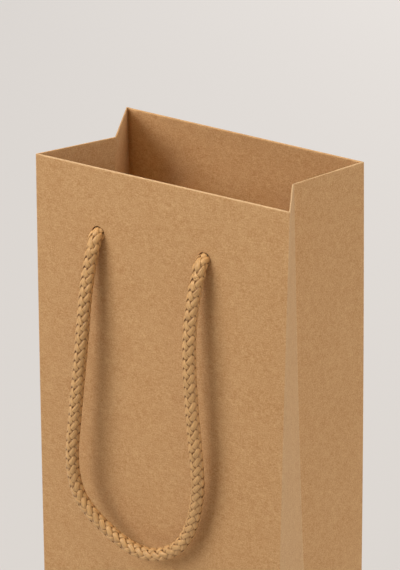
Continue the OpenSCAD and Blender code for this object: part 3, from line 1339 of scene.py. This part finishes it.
@dataclass(frozen=True)
class Braid:
    """A round braid whose strands turn half each way, and pass over two and under two."""

    strands: int = 12
    pitch: float = 27.5
    middle: float = 1.8
    rise: float = 0.74
    favour: float = 0.15
    half_width: float = 1.4
    half_thick: float = 0.76
    plateau: float = 0.5
    swell: float = 1.22
    crown: float = 0.75
    # How the strand's painted light follows its height: the gain and the level.
    painted_light_gain: float = 1.2
    painted_light_level: float = 0.56
    least_radius: float = 1.2
    sides: int = 14
    step: float = 0.6

    # How far a strand wanders round the line and heaves from it: the size, and the noise's
    # frequency along the line and from strand to strand, its start, and its frequency by seed.
    WANDER, HEAVE = (0.12, 0.07, 5.3, 0.0, 3.1), (0.09, 0.11, 3.7, 40.0, 2.3)

    def _values(self, start: float, end: float, seed: int) -> dict[str, Number]:
        """The tree's inputs, by name, for a stretch from start to end along the line."""
        return {
            "Start": start, "End": end, "Pitch": self.pitch, "Middle Radius": self.middle,
            "Rise": self.rise, "Half Width": self.half_width,
            "Half Thickness": self.half_thick,
            "Rings": max(4, round((end - start) / self.step)), "Seed": seed,
        }

    def _tubes(self, graph: Graph, rings: Wire) -> bpy.types.Node:
        """Makes one plain tube for each strand, with its number kept as an attribute.

        Args:
            graph: the tree's graph.
            rings: how many rings a tube has.

        Returns:
            The node that gives the tubes.
        """
        tube = graph.node(
            "GeometryNodeMeshCylinder", {"fill_type": "NGON"},
            {"Vertices": self.sides, "Side Segments": rings, "Radius": 1.0, "Depth": 1.0})
        one = graph.node("GeometryNodeGeometryToInstance", None, {0: tube.outputs["Mesh"]})
        many = graph.node(
            "GeometryNodeDuplicateElements", {"domain": "INSTANCE"},
            {"Geometry": one.outputs[0], "Amount": self.strands})
        named = graph.store(many, "strand", graph.out(many, "Duplicate Index"), "INSTANCE")
        return graph.node("GeometryNodeRealizeInstances", None, {0: named.outputs[0]})

    def tree(self, material: bpy.types.Material) -> bpy.types.NodeTree:
        """Builds the node tree that braids strands along the object's own line.

        Args:
            material: the strands' finish.

        Returns:
            The tree, with named inputs for its sizes.
        """
        tree = bpy.data.node_groups.new("Braided Rope", "GeometryNodeTree")
        face, graph = tree.interface, Graph(tree)
        for way in ("OUTPUT", "INPUT"):
            face.new_socket("Geometry", in_out=way, socket_type="NodeSocketGeometry")
        names = self._values(0.0, 0.0, 0)
        for name, value in names.items():
            kind = "NodeSocketInt" if isinstance(value, int) else "NodeSocketFloat"
            face.new_socket(name, in_out="INPUT", socket_type=kind)
        given = graph.node("NodeGroupInput")
        start, end, pitch, middle, rise, wide, thick, rings, seed = (
            graph.out(given, name) for name in names)
        tubes = self._tubes(graph, rings)
        x, y, z = graph.split(
            graph.out(graph.node("GeometryNodeInputPosition"), vector=True))
        strand = graph.recall("strand")

        # Where the strand runs: its angle round the line, and how high it rides.
        length = start + (end - start) * (z + 0.5)
        half = self.strands / 2.0
        second = graph.math("GREATER_THAN", strand, half - 0.5)
        turn = 1.0 - second * 2.0
        between = math.tau / half
        wander, heave = (
            graph.noise(graph.join(length * a, strand * b + start_at, seed * c), 1.0, 1.0) * most
            for most, a, b, start_at, c in (self.WANDER, self.HEAVE))
        angle = turn * (length * math.tau / pitch)
        angle = angle + (strand - second * half + second * 0.5) * between + wander
        swing = ((angle * (half / 2.0)).sine() + self.favour) * turn
        over = swing / graph.math("SQRT", swing * swing + self.plateau) * self.swell
        radius = middle + rise * over + heave

        # The tube's own points, laid across the strand, which leans with the pitch.
        lean = graph.math("ARCTANGENT", (middle + rise) * math.tau / pitch)
        bulge = graph.math("POWER", y.size(), self.crown) * graph.math("SIGN", y)
        u, out = x * wide, radius + bulge * thick
        place = length - turn * u * lean.sine()
        around = angle - between / 2.0 + u * lean.cosine() / radius.at_least(self.least_radius)

        # The line at that place, with the way that the braid faces.
        line = graph.node("GeometryNodeMeshToCurve", None, {"Mesh": given.outputs["Geometry"]})
        sample = graph.node(
            "GeometryNodeSampleCurve", {"mode": "LENGTH", "data_type": "FLOAT_VECTOR"},
            {"Curves": line.outputs[0], "Value": graph.recall("facing", True),
             "Length": place * MM})
        along = graph.vector("NORMALIZE", graph.out(sample, "Tangent", True))
        toward = graph.out(sample, "Value", True)
        toward = graph.vector("NORMALIZE", toward - along * graph.dot(toward, along))
        aside = graph.vector("CROSS_PRODUCT", along, toward)
        spot = graph.out(sample, "Position", True)
        spot = spot + toward * (around.cosine() * out * MM)
        spot = spot + aside * (around.sine() * out * MM)

        yarn = graph.store(tubes, "yarn", graph.join(u * turn, length, strand))
        # Painted shade: 1 where a strand rides on top, falling to 0 where it dives under the
        # crossing strands, which the finish paints in shade.
        shown = graph.store(yarn, "painted_light", (over * self.painted_light_gain + self.painted_light_level).clamped())
        placed = graph.node(
            "GeometryNodeSetPosition", None, {"Geometry": shown.outputs[0], "Position": spot})
        smooth = graph.node("GeometryNodeSetShadeSmooth", None, {"Geometry": placed.outputs[0]})
        final = graph.node("GeometryNodeRealizeInstances", None, {0: smooth.outputs[0]})
        dressed = graph.node(
            "GeometryNodeSetMaterial", None,
            {"Geometry": final.outputs[0], "Material": material})
        graph.node("NodeGroupOutput", None, {0: dressed.outputs[0]})
        return tree

    def piece(
        self, name: str, line: bpy.types.Object, tree: bpy.types.NodeTree,
        start: float, end: float, seed: int,
    ) -> bpy.types.Object:
        """Braids one stretch of rope.

        Args:
            name: the piece's name.
            line: the route's line, with the way that the braid faces.
            tree: the braid's node tree.
            start: where it starts along the line.
            end: where it ends along the line.
            seed: number for its small irregularities.

        Returns:
            The braid as a plain mesh object.
        """
        modifier = line.modifiers.new("Braid", "NODES")
        modifier.node_group = tree
        values = self._values(start, end, seed)
        for item in tree.interface.items_tree:
            if item.in_out == "INPUT" and item.name in values:
                modifier[item.identifier] = values[item.name]
        line.update_tag()
        depsgraph = bpy.context.evaluated_depsgraph_get()
        mesh = bpy.data.meshes.new_from_object(
            line.evaluated_get(depsgraph), preserve_all_data_layers=True, depsgraph=depsgraph)
        line.modifiers.remove(modifier)
        mesh.name = name
        return add_object(name, mesh)


@dataclass
class RopeHandle:
    """A braided rope: knotted end, hole, hanging loop, hole and knotted end."""

    label: str
    body: str
    inward: float
    hole_z: float
    hinge_y: float
    route: tuple[Point, ...]
    seed: int
    hem_from_hinge: float = 4.85
    samples: int = 10
    loop_length: float = 0.326
    diameter: float = 0.0062

    # Points from a hole, as across, inwards and up: the knotted end, and the bend at the hole.
    KNOT = ((0, 0, -0.15), (0, 4, 0), (0, 8, 0.3), (1.5, 10.6, 2.8), (4, 9.6, 3.3),
            (0, 8.6, 5.2), (-4.5, 7.4, 2.6), (-4.5, 6.2, -2.6), (0, 5, -5.2),
            (4.5, 4, -2.6), (4.9, 3.3, 1.8), (1.3, 3.3, 5), (-4.5, 3.3, 2.6),
            (-4.9, 3.3, -1), (-3.6, 3.6, -7), (-1.5, 5.5, -12.5), (0, 6.8, -18),
            (0, 6.8, -24))
    ELBOW = ((0, -1.0, -0.3), (0, -2.4, -0.75), (0, -3.8, -1.9), (0, -4.6, -3.6),
             (0, -4.85, -5.6))
    # A point of the bend near the hole, as across, inwards and up.
    BEND_FROM = (0, -1.2, -0.3)
    # How far the braid is turned about its line, in degrees, at shares of the loop.
    TURNS = ((0.0, 26.0), (0.09, 24.0), (0.16, 14.0), (0.26, 4.0), (0.46, 0.0),
             (0.58, -16.0), (0.7, -18.0), (0.77, 8.0), (0.88, 11.0), (0.95, 20.0), (1.0, 26.0))
    # The way that a column of the front braid's leaves faces before it is turned.
    LEAF_WAY = (0.487, -0.767, 0.416)

    def _at_hole(self, hole: int, points: Sequence[Point]) -> list[Point]:
        """Puts points at a hole into the bag's frame.

        Args:
            hole: 0 for the left hole and 1 for the right one.
            points: points from the hole, as across, inwards and up.

        Returns:
            The points in the bag's frame.
        """
        mirror = -1.0 if hole else 1.0
        hem = self.hinge_y + self.inward * self.hem_from_hinge
        return [
            (HOLE_X[hole] + mirror * u, hem + self.inward * w, self.hole_z + z)
            for u, w, z in points
        ]

    def _controls(self) -> tuple[list[Point], dict[str, int]]:
        """Puts the rope's knots, bends and loop in line.

        Returns:
            The whole rope's points, and the numbers of those where its pieces meet.
        """
        knot = self._at_hole(0, self.KNOT)[::-1]
        elbow = self._at_hole(0, self.ELBOW)
        loop = [(HOLE_X[0] + x, self.hinge_y + y, self.hole_z + z)
                for x, y, z in self.route[1:-1]]
        back = self._at_hole(1, self.ELBOW)[::-1]
        tail = self._at_hole(1, self.KNOT)
        marks = {"left_hole": len(knot) - 1}
        marks["loop_start"] = len(knot) + len(elbow)
        marks["loop_end"] = marks["loop_start"] + len(loop) - 1
        marks["right_hole"] = marks["loop_end"] + len(back) + 1
        return knot + elbow + loop + back + tail, marks

    @staticmethod
    def _lengths(line: np.ndarray, power: float = 1.0) -> np.ndarray:
        """How far each point lies along a line, with its steps raised to a power."""
        steps = np.linalg.norm(np.diff(line, axis=0), axis=1)
        return np.concatenate([[0.0], np.cumsum(steps ** power)])

    def _dense(self, controls: Sequence[Point]) -> tuple[np.ndarray, list[int]]:
        """A smooth line through points, by a centripetal spline.

        Args:
            controls: the points.

        Returns:
            The line's points, and the place of each given point among them.
        """
        given = np.array(controls, float)
        ends = np.vstack([2 * given[0] - given[1], given, 2 * given[-1] - given[-2]])
        knots = self._lengths(ends, 0.5)
        line, places = [], []
        for i in range(len(given) - 1):
            p, (t0, t1, t2, t3) = ends[i:i + 4], knots[i:i + 4]
            places.append(len(line))
            for t in np.linspace(t1, t2, self.samples, endpoint=False):
                a = blend_points(t, t0, t1, p[0], p[1])
                b = blend_points(t, t1, t2, p[1], p[2])
                c = blend_points(t, t2, t3, p[2], p[3])
                line.append(blend_points(
                    t, t1, t2, blend_points(t, t0, t2, a, b), blend_points(t, t1, t3, b, c)))
        places.append(len(line))
        line.append(given[-1])
        return np.array(line), places

    def _facing(self, line: np.ndarray, first: int, last: int) -> np.ndarray:
        """The way that one column of the braid's leaves faces along the line.

        Args:
            line: the line's points.
            first: the number of the first point of the loop.
            last: the number of its last point.

        Returns:
            A unit vector for each point, square to the line.
        """
        tangents = np.gradient(line, axis=0)
        tangents /= np.linalg.norm(tangents, axis=1)[:, None]
        facing = np.zeros_like(line)

        def face(i: int, want: np.ndarray) -> np.ndarray:
            """Turns a point's facing as near to a direction as its line lets it."""
            want = want - tangents[i] * want.dot(tangents[i])
            facing[i] = want / np.linalg.norm(want)
            return facing[i]

        leaf = np.array(self.LEAF_WAY) * (1.0, self.inward, 1.0)
        aside = np.array([VIEW_COS * self.inward, VIEW_SIN, 0.0])
        for i in range(first, last + 1):
            turn = math.radians(np.interp((i - first) / (last - first), *zip(*self.TURNS)))
            face(i, math.cos(turn) * leaf + math.sin(turn) * aside)
        for start, order in ((first, range(first - 1, -1, -1)),
                             (last, range(last + 1, len(line)))):
            carried = facing[start]
            for i in order:
                carried = face(i, carried)
        return facing

    def _line(self, points: np.ndarray, facing: np.ndarray) -> bpy.types.Object:
        """Makes the line that the rope is braided along.

        Args:
            points: its points.
            facing: the way that the braid faces at each.

        Returns:
            The line, as an object of edges.
        """
        mesh = bpy.data.meshes.new(f"{self.label}_route")
        edges = [(i, i + 1) for i in range(len(points) - 1)]
        mesh.from_pydata((points * MM).tolist(), edges, [])
        kept = mesh.attributes.new("facing", "FLOAT_VECTOR", "POINT")
        kept.data.foreach_set("vector", facing.ravel())
        return add_object(mesh.name, mesh)

    def build(self, braid: Braid, tree: bpy.types.NodeTree) -> None:
        """Makes the rope's pieces, and fits its knotted ends to the bag and its hanging loop to
        its own body.

        Args:
            braid: the braid's sizes.
            tree: the braid's node tree.
        """
        controls, marks = self._controls()
        points, places = self._dense(controls)
        lengths = self._lengths(points)
        first, last = places[marks["loop_start"]], places[marks["loop_end"]]
        line = self._line(points, self._facing(points, first, last))
        stops = [0.0, *(float(lengths[places[mark]]) for mark in marks.values()),
                 float(lengths[-1])]
        parts = ("left_knotted_end", "left_bend", "hanging_loop", "right_bend",
                 "right_knotted_end")
        made = {
            part: braid.piece(f"{self.label}_{part}", line, tree, start, end, self.seed)
            for part, start, end in zip(parts, stops, stops[1:])
        }
        bpy.data.objects.remove(line)
        for hole, side, mark in ((0, "left", "loop_start"), (1, "right", "loop_end")):
            end, bend = made[f"{side}_knotted_end"], made[f"{side}_bend"]
            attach(end, BAG)
            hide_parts(f"{self.label}_{side}_knot")
            near = self._at_hole(hole, [self.BEND_FROM])[0]
            tuple(c * MM for c in near)
            tuple(c * MM for c in controls[marks[mark]])
            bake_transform(bend)
        loop = made["hanging_loop"]
        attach(loop, self.body)
        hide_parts(f"{self.label}_rope_loop")
        for piece, start, end in zip(made.values(), stops, stops[1:]):
            LOG.info("rope %s: %.1f mm", piece.name, end - start)


# --------------------------------------------------------------------------- studio


@dataclass(frozen=True)
class PhotoCamera:
    """The camera at the photograph's place and angle."""

    place: Point = (0.56603, -0.89275, 0.75118)
    yaw: float = -32.43
    pitch: float = 24.63
    roll: float = -0.23
    lens: float = 159.03
    sensor: float = 36.0
    nearest: float = 0.05
    furthest: float = 50.0

    def build(self) -> None:
        """Makes the camera and gives it to the scene."""
        yaw, pitch, roll = (math.radians(v) for v in (self.yaw, self.pitch, self.roll))
        ahead = Vector((math.sin(yaw) * math.cos(pitch), math.cos(yaw) * math.cos(pitch),
                        -math.sin(pitch)))
        right = Vector((math.cos(yaw), -math.sin(yaw), 0.0))
        up = right.cross(ahead)
        across = right * math.cos(roll) + up * math.sin(roll)
        above = up * math.cos(roll) - right * math.sin(roll)
        turn = Matrix((across, above, -ahead)).transposed()
        data = bpy.data.cameras.new("photo_camera")
        data.lens, data.sensor_width, data.sensor_fit = self.lens, self.sensor, "AUTO"
        data.clip_start, data.clip_end = self.nearest, self.furthest
        camera = add_object(data.name, data)
        camera.matrix_world = Matrix.Translation(self.place) @ turn.to_4x4()
        bpy.context.scene.camera = camera
        LOG.info("camera %s", camera.name)


@dataclass(frozen=True)
class SoftLamp:
    """A round soft light that points at the bag."""

    name: str
    toward: Point
    distance: float
    size: float
    power: float
    target: Point = (0.0, 0.0, 0.25)
    colour: Colour = (1.0, 1.0, 1.0)

    def build(self) -> None:
        """Makes the lamp."""
        data = bpy.data.lights.new(self.name, "AREA")
        data.shape, data.size = "DISK", self.size
        data.energy, data.color = self.power, self.colour
        lamp = add_object(self.name, data)
        travel = Vector(self.toward).normalized()
        place = Matrix.Translation(Vector(self.target) - travel * self.distance)
        lamp.matrix_world = place @ travel.to_track_quat("-Z", "Y").to_matrix().to_4x4()
        lamp.visible_camera = False
        LOG.info("lamp %s", self.name)


@dataclass(frozen=True)
class Studio:
    """Pale floor, even pale surroundings and its soft lamps."""

    lamps: tuple[SoftLamp, ...]
    floor: FloorFinish
    surround: Colour
    shown: Colour
    reach: float = 14000.0
    floor_level: float = -0.02

    def _world(self) -> None:
        """Soft light from all round, which the camera sees as the pale backdrop."""
        world = bpy.data.worlds.new("studio")
        world.use_nodes = True
        world.node_tree.nodes.clear()
        graph = Graph(world.node_tree)
        seen = graph.out(graph.node("ShaderNodeLightPath"), "Is Camera Ray")
        colour = graph.tint(seen, rgba(self.surround), rgba(self.shown))
        glow = graph.node("ShaderNodeBackground", None, {"Color": colour, "Strength": 1.0})
        graph.node("ShaderNodeOutputWorld", None, {"Surface": glow.outputs[0]})
        bpy.context.scene.world = world

    def build(self) -> None:
        """Makes the floor, the surroundings and the lamps."""
        self._world()
        r, z = self.reach / 2.0, self.floor_level
        plane = new_object("studio_floor", [(-r, -r, z), (r, -r, z), (r, r, z), (-r, r, z)],
                           [(0, 1, 2, 3)], self.floor.make())
        LOG.info("floor %s", plane.name)
        for lamp in self.lamps:
            lamp.build()
        bpy.context.scene.view_settings.view_transform = "Standard"


# The loops' routes from the left hinge point, as in the part's source.
FRONT_ROUTE: tuple[Point, ...] = (
    (0, 0, 0), (-0.2, -0.5, -6.5), (-0.9, -2.4, -14.5), (-1.6, -4.5, -25.5),
    (-2.1, -6.3, -38.5), (-3, -7.7, -54.5), (-4.4, -9.1, -72.5), (-5.7, -10.6, -90.5),
    (-6.7, -11.7, -106.5), (-6.1, -11.9, -118.5), (-3.1, -11.7, -128.5), (2.6, -11.3, -136),
    (9.5, -10, -142.5), (17.3, -8.9, -148), (26.5, -7.9, -151.5), (35.6, -7.1, -151.3),
    (43.7, -6.4, -147.5), (49.8, -5.9, -141.5), (53.9, -5.4, -133.5), (56.8, -5.4, -123.5),
    (58.6, -5.7, -111.5), (58.8, -6.3, -99.5), (58, -6.8, -86.5), (56.8, -6.9, -72.5),
    (55.7, -6.8, -57.5), (54.9, -6.3, -42.5), (54.6, -4.7, -28.5), (55.1, -2.8, -16.5),
    (56.1, -0.6, -7), (56.2, 0, 0))

BACK_ROUTE: tuple[Point, ...] = (
    (0, 0, 0), (0, 0.4, -6.5), (-0.3, 1.9, -15), (-0.9, 4, -26.5),
    (-1.7, 6.3, -40), (-2.5, 8.3, -56.5), (-3.1, 9.7, -75), (-3.1, 10.5, -93),
    (-2.1, 10.7, -110), (0.7, 10.4, -125), (5.9, 9.9, -138.5), (13.9, 9.3, -149),
    (24, 8.9, -153.5), (34.5, 8.9, -152.5), (44, 9.3, -147), (51.1, 9.8, -137.5),
    (55.7, 10.3, -125), (57.9, 10.5, -110), (58.5, 10.3, -93), (58.1, 9.5, -75),
    (57.3, 8.1, -56.5), (56.5, 6.1, -40), (56.1, 3.9, -26.5), (56.1, 1.8, -15),
    (56.2, 0.3, -6.5), (56.2, 0, 0))

ROPE = RopeFinish("braided rope", (0.76, 0.447, 0.19), shade=(0.2, 0.085, 0.018))
KRAFT = PaperFinish("kraft paper", (0.545, 0.31, 0.14), highlight_and_wear_colour=(0.67, 0.51, 0.33))
CARD = PaperFinish("grey card", (0.46, 0.36, 0.25), highlight_and_wear_colour=(0.5, 0.4, 0.3))
FLOOR = FloorFinish("pale floor", lit=(0.62, 0.59, 0.56))

# Each lamp's direction, distance, size and power. The last stands in for the daylight that
# comes through the paper.
LAMPS = (
    SoftLamp("key", (0.62, 1.0, -0.76), 1.6, 1.05, 17.7),
    SoftLamp("fill", (-1.0, -0.26, -0.3), 1.7, 1.4, 15.4),
    SoftLamp("top", (0.05, 0.1, -1.0), 1.6, 1.2, 21.0, colour=(1.0, 0.93, 0.75)),
    SoftLamp("right", (-0.75, 0.6, -0.3), 1.6, 1.2, 1.5, colour=(1.0, 0.85, 0.55)),
    SoftLamp("behind", (0.3, -1.0, -0.4), 1.8, 1.4, 6.5),
    SoftLamp("light through the paper", (0.0, 1.0, 0.0), 0.0, 0.11, 0.028,
             target=(0.0, -0.033, 0.2), colour=(1.0, 0.62, 0.06)),
)


def main() -> None:
    """Builds the camera, the ropes, the paper and the studio, in that order."""
    logging.basicConfig(level=logging.INFO, format="%(name)s: %(message)s")
    PhotoCamera().build()
    braid = Braid()
    tree = braid.tree(ROPE.make())
    RopeHandle("front", "front_handle", 1.0, FRONT_HOLE_Z, -40.003, FRONT_ROUTE,
               seed=1).build(braid, tree)
    RopeHandle("back", "back_handle", -1.0, BACK_HOLE_Z, 40.284, BACK_ROUTE,
               seed=2).build(braid, tree)
    PaperBag().build(KRAFT.make(), CARD.make())
    Studio(LAMPS, FLOOR, surround=(0.02, 0.02, 0.02), shown=(0.75, 0.715, 0.68)).build()


if __name__ == "__main__":
    main()
